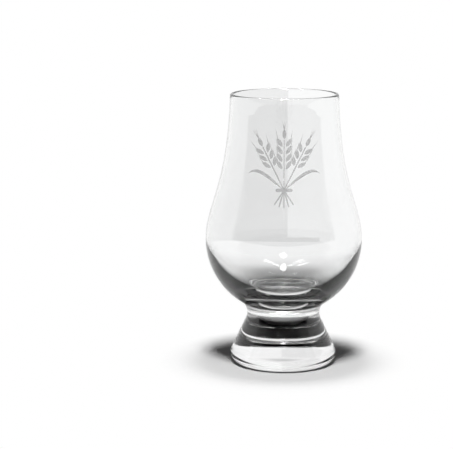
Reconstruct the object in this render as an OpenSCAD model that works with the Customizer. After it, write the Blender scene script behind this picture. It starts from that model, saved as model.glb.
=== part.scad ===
// Whisky nosing glass: a tulip bowl of clear crystal on a short solid foot.
// Millimetres. The glass stands on z = 0 with its axis on Z, and the engraving faces -Y.

/* [Outline] */
// Height from the table to the top of the lip
glass_h = 115; // [95:1:135]
// Outer diameter of the lip
rim_d = 45.6; // [40:0.2:52]
// Largest outer diameter of the bowl
belly_d = 66.2; // [60:0.2:74]
// Height of the largest diameter above the table
belly_h = 53.4; // [49:0.2:58]
// Diameter of the waist, where bowl and foot are fused
waist_d = 30.8; // [27:0.2:34]
// Height of the waist above the table
waist_h = 21.5; // [19:0.1:24]
// Radius of the hollow curve round the waist
waist_fillet = 6.2; // [4:0.1:7]

/* [Bowl] */
// Thickness of the wall at the lip
rim_wall = 1.3; // [0.9:0.1:2]
// Thickness of the wall at the largest diameter
belly_wall = 1.1; // [0.9:0.1:2.2]
// Height of the cavity's lowest point above the table
floor_h = 27.9; // [26.5:0.1:33]

/* [Foot] */
// Largest diameter of the foot
foot_d = 45; // [41:0.2:50]
// Radius of the rounded heel
heel_r = 4.2; // [3:0.1:5]
// Width of the flat ring that the foot stands on
ring_w = 2.4; // [1:0.1:3.5]
// Depth of the hollow under the foot
punt_depth = 2.2; // [1:0.1:4]

/* [Engraving] */
// Height of the sheaf's tie above the table
tie_h = 78.3; // [76:0.1:80]
// Width of the tie
tie_w = 5.6; // [4.5:0.1:7]
// Height of the tie
tie_t = 1.3; // [1:0.1:1.8]
// Length of the stalks below the tie
stalk_l = 6.9; // [6:0.1:9.5]
// Width of a stalk
stalk_w = 0.45; // [0.3:0.05:0.6]
// Length of one grain
grain_l = 4; // [3.4:0.1:4.4]
// Width of one grain
grain_w = 1.6; // [1.2:0.05:1.8]
// Distance from one pair of grains to the next
grain_pitch = 3; // [2.8:0.1:3.3]
// Distance from the tie to the middle ear's first grains
middle_start = 8.4; // [8:0.1:10]
// Distance from the tie to the side ears' first grains
side_start = 10.4; // [9.5:0.1:11.5]
// Length of the whisker on each grain
awn_l = 4.4; // [3.5:0.1:6]
// Width of the whisker where it leaves the grain
awn_w = 0.34; // [0.25:0.01:0.45]
// Distance from the axis to the tip of a leaf
leaf_reach = 14.7; // [13:0.1:16.5]
// Height of a leaf's tip above the tie
leaf_rise = 6; // [4:0.1:7]
// Width of a leaf
leaf_w = 2; // [1.4:0.1:2.4]
// Depth of the engraving
mark_depth = 0.15; // [0.08:0.01:0.25]

/* [Hidden] */
$fn = 96;

// Straight runs in each curve of an outline
curve_steps = 22;
// Straight runs in each small arc, and in each edge of a leaf
arc_steps = 8;
leaf_steps = 12;
// Reach of the upper outline's handles, as shares of the height from belly to lip
belly_pull_share = 0.24;
rim_pull_share = 0.64;
// Outward lean of the wall just below the lip, as a share of its length
rim_lean_share = 0.03;
// Reach of the cavity's handles, as shares of its radius and of its depth
floor_pull_share = 0.72;
flank_pull_share = 0.38;

rim_r = rim_d / 2;
belly_r = belly_d / 2;
waist_r = waist_d / 2;
foot_r = foot_d / 2;
lip_r = rim_wall / 2;
lip_h = glass_h - lip_r;

// Circle of the waist's hollow curve, outside the glass
waist_cx = waist_r + waist_fillet;
// Circle of the bowl's lower half: upright at the belly and tangent to the waist's curve
reach = waist_cx - belly_r;
drop = belly_h - waist_h;
bowl_r = (reach * reach + drop * drop - waist_fillet * waist_fillet) / (2 * (waist_fillet - reach));
bowl_cx = belly_r - bowl_r;
bowl_turn = atan2(waist_h - belly_h, waist_cx - bowl_cx);

// Circle of the heel, and the direction square to the flank that joins it to the waist
heel_cx = foot_r - heel_r;
punt_r = heel_cx - ring_w;
heel_gap = norm([waist_cx - heel_cx, waist_h - heel_r]);
flank_turn = atan2(waist_h - heel_r, waist_cx - heel_cx) - acos((heel_r + waist_fillet) / heel_gap);

// Circle of the hollow under the foot
punt_arc = (punt_r * punt_r + punt_depth * punt_depth) / (2 * punt_depth);
punt_turn = asin(punt_r / punt_arc);

// Inside of the bowl, widest where the outside is
cavity_r = belly_r - belly_wall;

// Engraved sheaf: pairs of grains on the middle ear and on the side ears, and the side ears' turn
middle_pairs = 4;
side_pairs = 3;
side_turn = 27;
// Turn of a grain and of its whisker from their ear, and of each stalk below the tie
grain_turn = 33;
awn_turn = 11;
stalk_turns = [-34, -17, 0, 17, 34];
// Gap between a stalk and the grains beside it
grain_gap = 0.15;
// Where a whisker leaves its grain, as a share of the grain's length
awn_foot_share = 0.86;
// Handles of a leaf's lower edge, as shares of its reach and of its rise
leaf_root_shares = [0.36, 0.55];
leaf_curl_shares = [0.74, 1.5];
// Distance that a cut runs past the surface that it opens
overrun = 1;

function arc(c, r, from, to, n) =
    [for (i = [0:n]) let (a = from + (to - from) * i / n) c + r * [cos(a), sin(a)]];
function mix(a, b, t) = a * (1 - t) + b * t;
function bezier_at(p, t) =
    let (a = mix(p[0], p[1], t), b = mix(p[1], p[2], t), c = mix(p[2], p[3], t))
    mix(mix(a, b, t), mix(b, c, t), t);
function bezier(p, n) = [for (i = [0:n]) bezier_at(p, i / n)];
function past_first(points) = [for (i = [1:len(points) - 1]) points[i]];
function backwards(points) = [for (i = [len(points) - 1:-1:0]) points[i]];

// Wall from a belly of radius r up to a rim of radius top_r
function upper_wall(r, top_r) =
    let (rise = lip_h - belly_h, pull = rise * rim_pull_share)
    bezier([
        [r, belly_h],
        [r, belly_h + rise * belly_pull_share],
        [top_r + pull * rim_lean_share, lip_h - pull],
        [top_r, lip_h]
    ], curve_steps);

upper_outside = upper_wall(belly_r, rim_r);
lower_outside = concat(
    arc([waist_cx, waist_h], waist_fillet, 180, 180 + bowl_turn, arc_steps),
    past_first(arc([bowl_cx, belly_h], bowl_r, bowl_turn, 0, curve_steps))
);
lip = arc([rim_r - lip_r, lip_h], lip_r, 0, 180, arc_steps);
cavity_flank = (belly_h - floor_h) * flank_pull_share;
inside = concat(
    bezier([
        [0, floor_h],
        [cavity_r * floor_pull_share, floor_h],
        [cavity_r, belly_h - cavity_flank],
        [cavity_r, belly_h]
    ], curve_steps),
    past_first(upper_wall(cavity_r, rim_r - rim_wall))
);

// The bowl before it is engraved, down to the flat disc where the foot is fused on
module bowl_blank() {
    rotate_extrude()
        polygon(concat(
            [[0, waist_h]],
            lower_outside,
            past_first(upper_outside),
            past_first(lip),
            past_first(backwards(inside))
        ));
}

// One grain, its foot at the origin and its tip up
module grain() {
    r = (grain_l * grain_l + grain_w * grain_w) / (4 * grain_w);
    intersection() {
        translate([r - grain_w / 2, grain_l / 2])
            circle(r);
        translate([grain_w / 2 - r, grain_l / 2])
            circle(r);
    }
}

// One whisker, its foot at the origin and its tip up
module awn() {
    polygon([[-awn_w / 2, 0], [awn_w / 2, 0], [0, awn_l]]);
}

// A grain that leans to one side, with its upright whisker
module leaning_grain(side) {
    lean = -side * grain_turn;
    rotate(lean)
        grain();
    rotate(lean)
        translate([0, grain_l * awn_foot_share])
            rotate(side * (grain_turn - awn_turn))
                awn();
}

// One ear on its stalk, which starts at the origin
module ear(start, pairs) {
    spine = start + pairs * grain_pitch;
    translate([-stalk_w / 2, 0])
        square([stalk_w, spine - grain_gap]);
    translate([0, spine]) {
        grain();
        for (turn = [-awn_turn, 0, awn_turn])
            translate([0, grain_l * awn_foot_share])
                rotate(turn)
                    awn();
    }
    for (i = [0:pairs - 1], side = [-1, 1])
        translate([side * (stalk_w / 2 + grain_gap + grain_w / 4), start + i * grain_pitch])
            leaning_grain(side);
}

// One leaf that arches out from the tie, on the right for side 1 and on the left for side -1
module leaf(side) {
    tip = [leaf_reach, leaf_rise];
    root = [leaf_reach * leaf_root_shares[0], leaf_rise * leaf_root_shares[1]];
    curl = [leaf_reach * leaf_curl_shares[0], leaf_rise * leaf_curl_shares[1]];
    lift = [0, leaf_w];
    lower = bezier([[0, 0], root, curl, tip], leaf_steps);
    upper = bezier([[0, 0], root + lift, curl + lift, tip], leaf_steps);
    polygon([for (p = concat(lower, backwards(upper))) [side * p[0], p[1]]]);
}

// The sheaf drawn flat, with the middle of its tie at the origin
module sheaf() {
    ear(middle_start, middle_pairs);
    for (side = [-1, 1]) {
        rotate(-side * side_turn)
            ear(side_start, side_pairs);
        leaf(side);
    }
    for (turn = stalk_turns)
        rotate(180 - turn)
            translate([-stalk_w / 2, 0])
                square([stalk_w, stalk_l]);
    square([tie_w, tie_t], center = true);
    for (side = [-1, 1])
        translate([side * tie_w / 2, 0])
            circle(d = tie_t);
}

// The engraved depth of the sheaf on the front of the bowl, open outwards
module mark_cut() {
    intersection() {
        translate([0, 0, tie_h])
            rotate([90, 0, 0])
                linear_extrude(belly_r + overrun)
                    sheaf();
        rotate_extrude()
            polygon(concat(
                [for (p = upper_outside) p - [mark_depth, 0]],
                [for (p = backwards(upper_outside)) p + [overrun, 0]]
            ));
    }
}

module bowl() {
    color([0.86, 0.91, 0.93, 0.45])
        difference() {
            bowl_blank();
            mark_cut();
        }
}

// The solid foot, from the fused disc down to the rounded heel and the hollow underneath
module foot() {
    color([0.78, 0.84, 0.87, 0.6])
        rotate_extrude()
            polygon(concat(
                arc([0, punt_depth - punt_arc], punt_arc, 90, 90 - punt_turn, arc_steps),
                arc([heel_cx, heel_r], heel_r, -90, flank_turn, curve_steps),
                arc([waist_cx, waist_h], waist_fillet, 180 + flank_turn, 180, arc_steps),
                [[0, waist_h]]
            ));
}

// The frosted skin that the sand blast leaves in the bowl's surface
module engraving() {
    color([0.72, 0.74, 0.76])
        intersection() {
            bowl_blank();
            mark_cut();
        }
}

bowl();
foot();
engraving();
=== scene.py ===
"""A whisky nosing glass of clear crystal with a frosted barley sheaf, on a white table in studio light."""

import math

import bmesh
import bpy
import numpy as np
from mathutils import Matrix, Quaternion, Vector
from mathutils.geometry import delaunay_2d_cdt


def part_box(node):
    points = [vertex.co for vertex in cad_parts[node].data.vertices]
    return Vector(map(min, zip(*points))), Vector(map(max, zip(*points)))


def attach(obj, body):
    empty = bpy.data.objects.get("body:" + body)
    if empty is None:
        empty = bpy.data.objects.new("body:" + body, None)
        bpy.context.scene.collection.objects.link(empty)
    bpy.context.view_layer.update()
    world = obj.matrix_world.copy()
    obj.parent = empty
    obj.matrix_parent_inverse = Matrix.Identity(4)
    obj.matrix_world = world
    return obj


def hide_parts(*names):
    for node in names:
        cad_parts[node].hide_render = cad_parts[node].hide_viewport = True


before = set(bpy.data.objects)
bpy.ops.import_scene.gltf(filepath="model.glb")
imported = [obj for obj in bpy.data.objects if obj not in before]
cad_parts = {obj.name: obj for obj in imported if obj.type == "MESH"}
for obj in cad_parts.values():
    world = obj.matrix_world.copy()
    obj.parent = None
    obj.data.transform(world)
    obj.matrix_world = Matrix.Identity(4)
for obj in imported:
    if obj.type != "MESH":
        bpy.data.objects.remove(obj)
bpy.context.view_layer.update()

# One millimetre, in metres
MM = 0.001

# Sizes of the glass in millimetres, named as in the part. The main ones are read from model.glb.
bowl_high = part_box("bowl")[1]
foot_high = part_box("foot")[1]
glass_h = bowl_high.z / MM
belly_r = bowl_high.x / MM
foot_r = foot_high.x / MM
waist_h = foot_high.z / MM
rim_r = 22.8
belly_h = 53.4
waist_r = 15.4
waist_fillet = 6.2
rim_wall = 1.3
belly_wall = 1.1
floor_h = 27.9
heel_r = 4.2
ring_w = 2.4
punt_depth = 2.2

# The rounded lip
lip_r = rim_wall / 2
lip_h = glass_h - lip_r

# Circle of the waist's hollow curve, and the circle of the bowl's lower half, which meets it
waist_c = waist_r + waist_fillet
reach = waist_c - belly_r
drop = belly_h - waist_h
bowl_r = (reach**2 + drop**2 - waist_fillet**2) / (2 * (waist_fillet - reach))
bowl_c = belly_r - bowl_r
bowl_turn = math.degrees(math.atan2(waist_h - belly_h, waist_c - bowl_c))

# Reach of the outlines' handles, as shares
belly_pull_share = 0.24
rim_pull_share = 0.64
rim_lean_share = 0.03
floor_pull_share = 0.72
flank_pull_share = 0.38

# The frosted sheaf, drawn flat with the middle of its tie at the origin, in millimetres and degrees
tie_h = 78.3
tie_w = 5.6
tie_t = 1.3
stalk_l = 6.9
stalk_w = 0.45
stalk_turns = (-34, -17, 0, 17, 34)
grain_l = 4
grain_w = 1.6
grain_pitch = 3
grain_gap = 0.15
grain_turn = 33
middle_start = 8.4
middle_pairs = 4
side_start = 10.4
side_pairs = 3
side_turn = 27
awn_l = 4.4
awn_w = 0.34
awn_turn = 11
awn_foot_share = 0.86
leaf_reach = 14.7
leaf_rise = 6
leaf_w = 2
leaf_root_shares = (0.36, 0.55)
leaf_curl_shares = (0.74, 1.5)

# How far the frost stands out of the glass, and how far it reaches into it, in millimetres
FROST_PROUD = 0.03
FROST_DEEP = 0.02
# Grid that the frost is cut to, so that it follows the round wall, in millimetres
FROST_GRID = 0.8

# Straight steps along each long curve and each short arc of the outlines, and round the glass
CURVE_STEPS = 60
ARC_STEPS = 20
TURNS = 192
# Straight steps along a grain's side, a leaf's edge and the tie's end
GRAIN_STEPS = 10
LEAF_STEPS = 24
TIE_STEPS = 8
# Edges that turn by more degrees than this stay sharp
SHARP_ANGLE = 40
# Length that counts as nothing on a turned solid, in millimetres
TINY = 1e-6
# Points of the frost that are closer than this become one, in millimetres
MERGE_GAP = 1e-5

# Colour and refraction of the crystal
CRYSTAL_TINT = (0.965, 0.968, 0.968, 1)
CRYSTAL_IOR = 1.53
# Its unevenness, in waves per metre round it
WAVES_PER_METRE = 40
# How much closer the waves lie up the glass, which makes rings of them
WAVES_UP_RATIO = 6
# Height of a wave in metres
WAVE_HEIGHT = 2e-5

# Colour, roughness and grains per metre of the frost
FROST_GREY = (0.6, 0.6, 0.6, 1)
FROST_ROUGHNESS = 0.75
FROST_GRAINS_PER_METRE = 9000
# The least and the most that it covers of what is behind it
FROST_COVER = (0.22, 0.45)

# Reach of the table to the sides and the back, and to its front edge, in metres
TABLE_R = 6.0
TABLE_FRONT = 2.0
TABLE_GREY = (0.8, 0.8, 0.8, 1)
# How the table fades into the white sweep: round which spot, between which distances from it, in metres,
# and with what share of the sweep at the spot. First as it shows in the glass, then as seen directly.
FADE_IN_GLASS = ((0.01, 0.02, 0), 0.06, 0.13, 0.0)
# Seen directly, the sweep's glow is painted light: it lifts the core of the glass's shadow by that share
# and whitens the shadow from the nearer distance on.
FADE_DIRECT_PAINTED_LIGHT = ((0, 0.001, 0), 0.033, 0.056, 0.045)

# The grey card's distance behind the glass, its reach to the left and right and its height, in metres
CARD_BACK = 0.21
CARD_LEFT = 0.1
CARD_RIGHT = 0.0023
CARD_H = 0.14
# Its foot, a strip of painted shade along the card's bottom, which reaches further right
CARD_FOOT_RIGHT = 0.022
CARD_FOOT_H = 0.0045
# How light the card is, and its foot, which is darker as painted shade
CARD_LEVEL = 0.875
CARD_FOOT_SHADE_LEVEL = 0.86

# How light the surroundings show in the glass: a white sweep, a room's walls in front, and its ceiling
SWEEP_LEVEL = 1.0
ROOM_LEVEL = 0.01
CEILING_LEVEL = 0.35
# How much light they all give to matt surfaces
AMBIENT_LEVEL = 0.004
# Their soft edges, each as its middle and half its width, in directions from the glass of length 1: the
# height where the sweep ends, the height where the walls start, and the depth where the room ends
SWEEP_TOP = (0.62, 0.1)
ROOM_FLOOR = (-0.02, 0.02)
ROOM_BACK = (-0.155, 0.04)
# The walls turn into the ceiling where the direction rises by this much for each step to the front
CEILING_SLOPE = 1.0
CEILING_EDGE = (0, 0.03)

# What most lamps point at: the floor of the bowl
LAMP_AIM = (0, 0, 0.03)
# Place and length of each of the long, slanting lamps, in metres
ARMS = ((0.22, -0.02, 0.38), (-0.22, -0.02, 0.38), (-0.33, 0.1, 0.26))
# Their height and width in metres, their power in watts and their slant in degrees
ARM_H = 0.96
ARM_W = 0.07
ARM_POWER = 3
ARM_ROLL = 28

# The photograph's width and the camera's focal length in pixels, fitted to the glass's outline
PICTURE_W = 453
FOCAL_PX = 1678.6
# Width of the camera's sensor in millimetres
SENSOR_W = 36
# Distance and height of the camera, and how near it sees, in metres
CAMERA_DISTANCE = 700.4 * MM
CAMERA_H = 184.3 * MM
CAMERA_NEAR = 0.01
# How far the camera looks down and to the left, in degrees
CAMERA_PITCH = 10.12
CAMERA_YAW = 1.985


def arc(centre, radius, start, end, steps):
    """Points on a circle from one angle to another, in degrees."""
    turns = [math.radians(start + (end - start) * i / steps) for i in range(steps + 1)]
    return [(centre[0] + radius * math.cos(a), centre[1] + radius * math.sin(a)) for a in turns]


def bezier(points, steps):
    """Points on the cubic curve of four handles."""
    a, b, c, d = (np.array(p, float) for p in points)
    result = []
    for i in range(steps + 1):
        t = i / steps
        s = 1 - t
        result.append(tuple(s**3 * a + 3 * s * s * t * b + 3 * s * t * t * c + t**3 * d))
    return result


def upper_wall(radius, top_radius):
    """The wall from the belly up to the lip."""
    rise = lip_h - belly_h
    pull = rise * rim_pull_share
    handles = [
        (radius, belly_h),
        (radius, belly_h + rise * belly_pull_share),
        (top_radius + pull * rim_lean_share, lip_h - pull),
        (top_radius, lip_h),
    ]
    return bezier(handles, CURVE_STEPS)


def outside_wall():
    """The bowl's outside from the waist to the lip."""
    waist = arc((waist_c, waist_h), waist_fillet, 180, 180 + bowl_turn, ARC_STEPS)
    lower = arc((bowl_c, belly_h), bowl_r, bowl_turn, 0, CURVE_STEPS)
    return waist + lower[1:] + upper_wall(belly_r, rim_r)[1:]


def inside_wall():
    """The cavity from its lowest point to the lip."""
    cavity_r = belly_r - belly_wall
    flank = (belly_h - floor_h) * flank_pull_share
    handles = [
        (0, floor_h),
        (cavity_r * floor_pull_share, floor_h),
        (cavity_r, belly_h - flank),
        (cavity_r, belly_h),
    ]
    return bezier(handles, CURVE_STEPS) + upper_wall(cavity_r, rim_r - rim_wall)[1:]


def bowl_outline():
    """Half the bowl's section, from the joint up the outside and down the inside."""
    lip = arc((rim_r - lip_r, lip_h), lip_r, 0, 180, ARC_STEPS)
    return [(0, waist_h)] + outside_wall() + lip[1:-1] + inside_wall()[::-1]


def foot_outline():
    """Half the foot's section, from the hollow under it round the heel and up to the joint."""
    heel_c = foot_r - heel_r
    punt_r = heel_c - ring_w
    gap = math.hypot(waist_c - heel_c, waist_h - heel_r)
    slope = math.atan2(waist_h - heel_r, waist_c - heel_c)
    turn = math.degrees(slope - math.acos((heel_r + waist_fillet) / gap))
    punt_arc = (punt_r**2 + punt_depth**2) / (2 * punt_depth)
    punt_turn = math.degrees(math.asin(punt_r / punt_arc))
    punt = arc((0, punt_depth - punt_arc), punt_arc, 90, 90 - punt_turn, ARC_STEPS)
    heel = arc((heel_c, heel_r), heel_r, -90, turn, ARC_STEPS)
    waist = arc((waist_c, waist_h), waist_fillet, 180 + turn, 180, ARC_STEPS)
    return punt + heel + waist + [(0, waist_h)]


def add_piece(name, bm, materials):
    """An object with these materials from a bmesh, which is freed."""
    mesh = bpy.data.meshes.new(name)
    bm.to_mesh(mesh)
    bm.free()
    for material in materials:
        mesh.materials.append(material)
    piece = bpy.data.objects.new(name, mesh)
    bpy.context.scene.collection.objects.link(piece)
    return piece


def ring_of(bm, r, z):
    """Points round the axis at one height, or a single one on the axis."""
    if r < TINY:
        return [bm.verts.new((0, 0, z * MM))]
    angles = [2 * math.pi * k / TURNS for k in range(TURNS)]
    return [bm.verts.new((r * MM * math.cos(a), r * MM * math.sin(a), z * MM)) for a in angles]


def lathe(name, outline, materials):
    """A closed solid of revolution, from an outline that starts and ends on the axis.

    Its flat faces at the waist take the second material.
    """
    bm = bmesh.new()
    rings = [ring_of(bm, r, z) for r, z in outline]
    for low, high in zip(rings, rings[1:]):
        for here in range(TURNS):
            there = (here + 1) % TURNS
            if len(low) == 1:
                corners = [low[0], high[there], high[here]]
            elif len(high) == 1:
                corners = [low[here], low[there], high[0]]
            else:
                corners = [low[here], low[there], high[there], high[here]]
            bm.faces.new(corners)
    bm.normal_update()
    for face in bm.faces:
        face.smooth = True
        if all(abs(v.co.z / MM - waist_h) < TINY for v in face.verts):
            face.material_index = 1
    bmesh.ops.recalc_face_normals(bm, faces=bm.faces)
    piece = add_piece(name, bm, materials)
    piece.data.set_sharp_from_angle(angle=math.radians(SHARP_ANGLE))
    return piece


def turned(points, degrees):
    """A flat shape, turned about the origin."""
    c, s = math.cos(math.radians(degrees)), math.sin(math.radians(degrees))
    return [(x * c - y * s, x * s + y * c) for x, y in points]


def moved(points, x, y):
    """A flat shape, moved."""
    return [(px + x, py + y) for px, py in points]


def bar(width, length):
    """A bar that stands on the origin."""
    return [(-width / 2, 0), (width / 2, 0), (width / 2, length), (-width / 2, length)]


def grain():
    """A grain between two arcs, its foot at the origin and its tip up."""
    radius = (grain_l**2 + grain_w**2) / (4 * grain_w)
    half = math.degrees(math.asin(grain_l / 2 / radius))
    right = arc((grain_w / 2 - radius, grain_l / 2), radius, -half, half, GRAIN_STEPS)
    left = arc((radius - grain_w / 2, grain_l / 2), radius, 180 - half, 180 + half, GRAIN_STEPS)
    return right[:-1] + left[:-1]


def awn():
    """A whisker, its foot at the origin and its tip up."""
    return [(-awn_w / 2, 0), (awn_w / 2, 0), (0, awn_l)]


def leaning_grain(side):
    """A grain that leans to one side, with its upright whisker."""
    lean = -side * grain_turn
    whisker = moved(turned(awn(), side * (grain_turn - awn_turn)), 0, grain_l * awn_foot_share)
    return [turned(grain(), lean), turned(whisker, lean)]


def ear(start, pairs):
    """One ear on its stalk, which starts at the origin."""
    spine = start + pairs * grain_pitch
    shapes = [bar(stalk_w, spine - grain_gap), moved(grain(), 0, spine)]
    for turn in (-awn_turn, 0, awn_turn):
        shapes.append(moved(turned(awn(), turn), 0, spine + grain_l * awn_foot_share))
    for i in range(pairs):
        for side in (-1, 1):
            x = side * (stalk_w / 2 + grain_gap + grain_w / 4)
            shapes += [moved(shape, x, start + i * grain_pitch) for shape in leaning_grain(side)]
    return shapes


def leaf(side):
    """One leaf that arches out from the tie, on the right for side 1 and on the left for side -1."""
    root = (leaf_reach * leaf_root_shares[0], leaf_rise * leaf_root_shares[1])
    curl = (leaf_reach * leaf_curl_shares[0], leaf_rise * leaf_curl_shares[1])
    tip = (leaf_reach, leaf_rise)
    lower = bezier([(0, 0), root, curl, tip], LEAF_STEPS)
    upper = bezier([(0, 0), (root[0], root[1] + leaf_w), (curl[0], curl[1] + leaf_w), tip], LEAF_STEPS)
    return [(side * x, y) for x, y in lower[:-1] + upper[:0:-1]]


def tie():
    """The tie, with round ends."""
    right = arc((tie_w / 2, 0), tie_t / 2, -90, 90, TIE_STEPS)
    left = arc((-tie_w / 2, 0), tie_t / 2, 90, 270, TIE_STEPS)
    return right + left


def sheaf():
    """Three ears, two leaves, the stalks below the tie and the tie, as flat shapes that overlap."""
    shapes = ear(middle_start, middle_pairs)
    for side in (-1, 1):
        shapes += [turned(shape, -side * side_turn) for shape in ear(side_start, side_pairs)]
        shapes.append(leaf(side))
    shapes += [turned(bar(stalk_w, stalk_l), 180 - turn) for turn in stalk_turns]
    return shapes + [tie()]


def cut_flat(shapes):
    """The union of flat shapes, as points and as the triangles between them, no larger than the grid."""
    points, loops = [], []
    for shape in shapes:
        area = sum(a[0] * b[1] - b[0] * a[1] for a, b in zip(shape, shape[1:] + shape[:1]))
        loops.append(list(range(len(points), len(points) + len(shape))))
        points += [Vector(p) for p in (shape if area > 0 else shape[::-1])]
    low = np.array(points).min(axis=0)
    high = np.array(points).max(axis=0)
    for x in np.arange(low[0], high[0], FROST_GRID):
        for y in np.arange(low[1], high[1], FROST_GRID):
            points.append(Vector((x, y)))
    # Output type 0 is triangles over the points' whole hull. Its owners are the shapes that each lies in.
    flat, _, faces, _, _, owners = delaunay_2d_cdt(points, [], loops, 0, MERGE_GAP)
    return flat, [face for face, owner in zip(faces, owners) if owner]


def frost_layer(bm, flat, faces, proud):
    """The points of the faces, laid on the front of the bowl, this far out of its surface."""
    wall = upper_wall(belly_r, rim_r)
    heights = [z for _, z in wall]
    radii = [r for r, _ in wall]
    layer = {}
    for index in {i for face in faces for i in face}:
        x, z = flat[index][0], flat[index][1] + tie_h
        r = np.interp(z, heights, radii) + proud
        layer[index] = bm.verts.new((x * MM, -math.sqrt(r * r - x * x) * MM, z * MM))
    return layer


def frost_sheet(name, shapes, material):
    """The union of flat shapes, laid on the front of the bowl as a thin closed skin."""
    flat, faces = cut_flat(shapes)
    bm = bmesh.new()
    front = frost_layer(bm, flat, faces, FROST_PROUD)
    back = frost_layer(bm, flat, faces, -FROST_DEEP)
    for face in faces:
        bm.faces.new([front[i] for i in face])
        bm.faces.new([back[i] for i in reversed(face)])
    edges = [(a, b) for face in faces for a, b in zip(face, face[1:] + face[:1])]
    used = set(edges)
    for a, b in edges:
        if (b, a) not in used:
            bm.faces.new([front[b], front[a], back[a], back[b]])
    bmesh.ops.recalc_face_normals(bm, faces=bm.faces)
    return add_piece(name, bm, [material])


def empty_tree(owner):
    """The node tree of a material, a lamp or the world, without its first nodes."""
    owner.use_nodes = True
    owner.node_tree.nodes.clear()
    return owner.node_tree


def new_material(name):
    """A material and its empty node tree."""
    material = bpy.data.materials.new(name)
    return material, empty_tree(material)


def fill(tree, node, inputs):
    """Gives a node's inputs, by name or number, their values, or links from other nodes' outputs."""
    for key, value in inputs.items():
        if isinstance(value, bpy.types.NodeSocket):
            tree.links.new(value, node.inputs[key])
        else:
            node.inputs[key].default_value = value


def add_node(tree, kind, inputs=None):
    """A new node, with values or links on its inputs."""
    node = tree.nodes.new("ShaderNode" + kind)
    fill(tree, node, inputs or {})
    return node


def math_node(tree, operation, *values):
    """The result of a Math node, on numbers or other nodes' outputs."""
    node = tree.nodes.new("ShaderNodeMath")
    node.operation = operation
    fill(tree, node, dict(enumerate(values)))
    return node.outputs[0]


def mix_node(tree, factor, first, second):
    """The first number where the factor is 0, and the second where it is 1."""
    node = tree.nodes.new("ShaderNodeMix")
    node.data_type = "FLOAT"
    fill(tree, node, {"Factor": factor, "A": first, "B": second})
    return node.outputs["Result"]


def smooth_step(tree, value, start, end, first=0.0, last=1.0):
    """A number that goes smoothly from the first to the last while a value goes from start to end."""
    node = add_node(tree, "MapRange", {
        "Value": value,
        "From Min": start,
        "From Max": end,
        "To Min": first,
        "To Max": last,
    })
    node.interpolation_type = "SMOOTHSTEP"
    return node.outputs["Result"]


def soft_edge(tree, value, middle, half_width, first=0.0, last=1.0):
    """A smooth step given by its middle and half its width."""
    return smooth_step(tree, value, middle - half_width, middle + half_width, first, last)


def object_place(tree):
    """The place on the object itself."""
    return add_node(tree, "TexCoord").outputs["Object"]


def distance_from(tree, spot):
    """The distance from a spot on the object itself."""
    node = tree.nodes.new("ShaderNodeVectorMath")
    node.operation = "DISTANCE"
    fill(tree, node, {0: object_place(tree), 1: spot})
    return node.outputs["Value"]


def before_matt(tree):
    """1 until the light path has left a matt surface, then 0."""
    path = add_node(tree, "LightPath")
    return math_node(tree, "LESS_THAN", path.outputs["Diffuse Depth"], 1)


def camera_rays(tree):
    """1 for what is seen directly, else 0."""
    return add_node(tree, "LightPath").outputs["Is Camera Ray"]


def seen_rays(tree):
    """1 for what is seen directly, in a reflection or through glass, else 0."""
    path = add_node(tree, "LightPath")
    direct = math_node(tree, "MAXIMUM", path.outputs["Is Camera Ray"], path.outputs["Is Glossy Ray"])
    seen = math_node(tree, "MAXIMUM", direct, path.outputs["Is Transmission Ray"])
    return math_node(tree, "MULTIPLY", seen, before_matt(tree))


def table_fade(tree, spot, start, end, least):
    """The sweep's share on the table: the least round a spot, up to the start, and all past the end."""
    return smooth_step(tree, distance_from(tree, spot), start, end, least)


def crystal_material():
    """Clear crystal with faint rings from the mould."""
    material, tree = new_material("crystal")
    stretched = add_node(tree, "Mapping", {"Vector": object_place(tree), "Scale": (1, 1, WAVES_UP_RATIO)})
    waves = add_node(tree, "TexNoise", {
        "Vector": stretched.outputs["Vector"],
        "Scale": WAVES_PER_METRE,
        "Detail": 1,
    })
    bump = add_node(tree, "Bump", {
        "Height": waves.outputs["Fac"],
        "Strength": 1,
        "Distance": WAVE_HEIGHT,
    })
    shader = add_node(tree, "BsdfPrincipled", {
        "Base Color": CRYSTAL_TINT,
        "Roughness": 0.0,
        "IOR": CRYSTAL_IOR,
        "Transmission Weight": 1.0,
        "Normal": bump.outputs["Normal"],
    })
    add_node(tree, "OutputMaterial", {"Surface": shader.outputs[0]})
    return material


def join_material():
    """The fused joint, which light crosses as if it weren't there."""
    material, tree = new_material("fused_join")
    clear = add_node(tree, "BsdfTransparent")
    add_node(tree, "OutputMaterial", {"Surface": clear.outputs[0]})
    return material


def frost_material():
    """Sand-blasted glass: a grey film with a fine grain, which lets part of the light through."""
    material, tree = new_material("frost")
    grains = add_node(tree, "TexNoise", {
        "Vector": object_place(tree),
        "Scale": FROST_GRAINS_PER_METRE,
        "Detail": 2,
    })
    least, most = FROST_COVER
    cover = add_node(tree, "MapRange", {"Value": grains.outputs["Fac"], "To Min": least, "To Max": most})
    shader = add_node(tree, "BsdfPrincipled", {
        "Base Color": FROST_GREY,
        "Roughness": FROST_ROUGHNESS,
        "Alpha": cover.outputs["Result"],
    })
    add_node(tree, "OutputMaterial", {"Surface": shader.outputs[0]})
    return material


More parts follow.
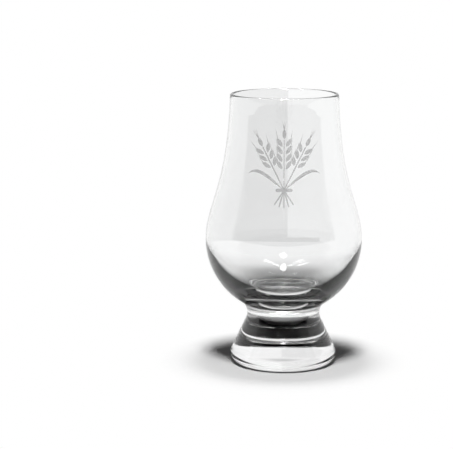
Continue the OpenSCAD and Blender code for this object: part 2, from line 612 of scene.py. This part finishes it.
def table_material():
    """A pale grey that shows the glass's shadow, and fades into a plain white sweep further out. Seen
    directly, the sweep's glow is painted light that lifts the shadow's core and whitens its outer part.

    It is black to a light path that has left a matt surface, so it lights nothing matt.
    """
    material, tree = new_material("table_white")
    in_glass = table_fade(tree, *FADE_IN_GLASS)
    # Painted light: seen directly, a faint glow lifts the shadow's core and white covers its outer part.
    direct = table_fade(tree, *FADE_DIRECT_PAINTED_LIGHT)
    fade = mix_node(tree, camera_rays(tree), in_glass, direct)
    shown = math_node(tree, "MULTIPLY", fade, seen_rays(tree))
    before = before_matt(tree)
    after = math_node(tree, "SUBTRACT", 1.0, before)
    share = math_node(tree, "MAXIMUM", shown, after)
    matt = add_node(tree, "BsdfDiffuse", {"Color": TABLE_GREY})
    sweep = add_node(tree, "Emission", {"Strength": before})
    blend = add_node(tree, "MixShader", {"Fac": share, 1: matt.outputs[0], 2: sweep.outputs[0]})
    add_node(tree, "OutputMaterial", {"Surface": blend.outputs[0]})
    return material


def build_table():
    """The table, which reaches far to the sides and the back, and ends in front."""
    bm = bmesh.new()
    corners = ((-TABLE_R, -TABLE_FRONT), (TABLE_R, -TABLE_FRONT), (TABLE_R, TABLE_R), (-TABLE_R, TABLE_R))
    bm.faces.new([bm.verts.new((x, y, 0)) for x, y in corners])
    table = add_piece("table", bm, [table_material()])


def card_material(name, level):
    """An even grey that lights nothing matt."""
    material, tree = new_material(name)
    plain = add_node(tree, "Emission", {"Color": (level, level, level, 1), "Strength": before_matt(tree)})
    add_node(tree, "OutputMaterial", {"Surface": plain.outputs[0]})
    return material


def build_card():
    """A pale grey card behind the glass, with a darker foot of painted shade. It only shows in and through
    the glass.
    """
    bm = bmesh.new()
    strips = ((0, CARD_FOOT_H, CARD_FOOT_RIGHT), (CARD_FOOT_H, CARD_H, CARD_RIGHT))
    for index, (low, high, right) in enumerate(strips):
        corners = ((-CARD_LEFT, low), (right, low), (right, high), (-CARD_LEFT, high))
        face = bm.faces.new([bm.verts.new((x, CARD_BACK, z)) for x, z in corners])
        face.material_index = index
    # The foot's darker grey is painted shade at the bottom of the card.
    greys = [card_material("card_foot_painted_shade", CARD_FOOT_SHADE_LEVEL), card_material("card_grey", CARD_LEVEL)]
    card = add_piece("backdrop_card", bm, greys)
    card.visible_camera = False
    card.visible_diffuse = False
    card.visible_shadow = False


def build_world():
    """Plain white as seen directly. In the glass, a white sweep behind and a dark room in front."""
    world = bpy.data.worlds.new("studio")
    bpy.context.scene.world = world
    tree = empty_tree(world)
    direction = add_node(tree, "TexCoord").outputs["Generated"]
    split = add_node(tree, "SeparateXYZ", {0: direction})
    depth, height = split.outputs["Y"], split.outputs["Z"]
    sweep = soft_edge(tree, height, *SWEEP_TOP, SWEEP_LEVEL, CEILING_LEVEL)
    walls = soft_edge(tree, height, *ROOM_FLOOR, 0.0, ROOM_LEVEL)
    rise = math_node(tree, "MULTIPLY_ADD", depth, CEILING_SLOPE, height)
    room = mix_node(tree, soft_edge(tree, rise, *CEILING_EDGE), walls, CEILING_LEVEL)
    in_glass = mix_node(tree, soft_edge(tree, depth, *ROOM_BACK), room, sweep)
    seen = mix_node(tree, camera_rays(tree), in_glass, 1.0)
    strength = mix_node(tree, seen_rays(tree), AMBIENT_LEVEL, seen)
    background = add_node(tree, "Background", {"Color": (1, 1, 1, 1), "Strength": strength})
    add_node(tree, "OutputWorld", {"Surface": background.outputs[0]})


def add_lamp(name, place, aim, size, power, roll=0):
    """An oval lamp that faces a spot, in metres and watts, and is rolled by some degrees."""
    data = bpy.data.lights.new(name, "AREA")
    data.shape = "ELLIPSE"
    data.size, data.size_y = size
    data.energy = power
    lamp = bpy.data.objects.new(name, data)
    lamp.location = place
    facing = (Vector(aim) - Vector(place)).to_track_quat("-Z", "Y")
    lamp.rotation_euler = (facing @ Quaternion((0, 0, 1), math.radians(roll))).to_euler()
    bpy.context.scene.collection.objects.link(lamp)
    return lamp


def matt_lamp(name, place, aim, size, power):
    """A lamp that lights the table and the frost, and doesn't show in the glass."""
    lamp = add_lamp(name, place, aim, size, power)
    lamp.visible_glossy = False
    lamp.visible_transmission = False


def glint_lamp(name, place, size, power, roll=0):
    """A lamp that only shows in the glass as a highlight, and lights no matt surface."""
    lamp = add_lamp(name, place, LAMP_AIM, size, power, roll)
    lamp.visible_diffuse = False
    tree = empty_tree(lamp.data)
    shine = add_node(tree, "Emission", {"Strength": before_matt(tree)})
    add_node(tree, "OutputLight", {"Surface": shine.outputs[0]})


def build_lamps():
    """Two lamps for the table and the frost, and five that show in the glass."""
    matt_lamp("key", place=(0, -0.46, 0.93), aim=LAMP_AIM, size=(0.2, 0.2), power=9.6)
    matt_lamp("top", place=(0, 0, 0.3), aim=(0, 0, 0), size=(0.08, 0.08), power=0.34)
    glint_lamp("glint", place=(0, -0.4, 0.86), size=(0.14, 0.3), power=12)
    glint_lamp("overhead", place=(0, 0.2, 0.96), size=(0.1, 0.4), power=5)
    for x, y, length in ARMS:
        roll = math.copysign(ARM_ROLL, -x)
        glint_lamp("arm", place=(x, y, ARM_H), size=(ARM_W, length), power=ARM_POWER, roll=roll)


def build_camera():
    """The photograph's camera."""
    data = bpy.data.cameras.new("camera")
    data.sensor_fit = "HORIZONTAL"
    data.sensor_width = SENSOR_W
    data.lens = FOCAL_PX / PICTURE_W * SENSOR_W
    data.clip_start = CAMERA_NEAR
    camera = bpy.data.objects.new("camera", data)
    camera.location = (0, -CAMERA_DISTANCE, CAMERA_H)
    camera.rotation_euler = (math.pi / 2 - math.radians(CAMERA_PITCH), 0, math.radians(CAMERA_YAW))
    bpy.context.scene.collection.objects.link(camera)
    bpy.context.scene.camera = camera


crystal = crystal_material()
join = join_material()
bowl_piece = lathe("bowl_glass", bowl_outline(), [crystal, join])
foot_piece = lathe("foot_glass", foot_outline(), [crystal, join])
frost_piece = frost_sheet("engraving_frost", sheaf(), frost_material())
for piece, node, slot in (
    (bowl_piece, "bowl", "bowl_crystal"),
    (foot_piece, "foot", "foot_crystal"),
    (frost_piece, "engraving", "frosted_mark"),
):
    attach(piece, "root")
    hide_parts(node)

build_camera()
build_table()
build_card()
build_world()
build_lamps()

bpy.context.scene.view_settings.view_transform = "Standard"
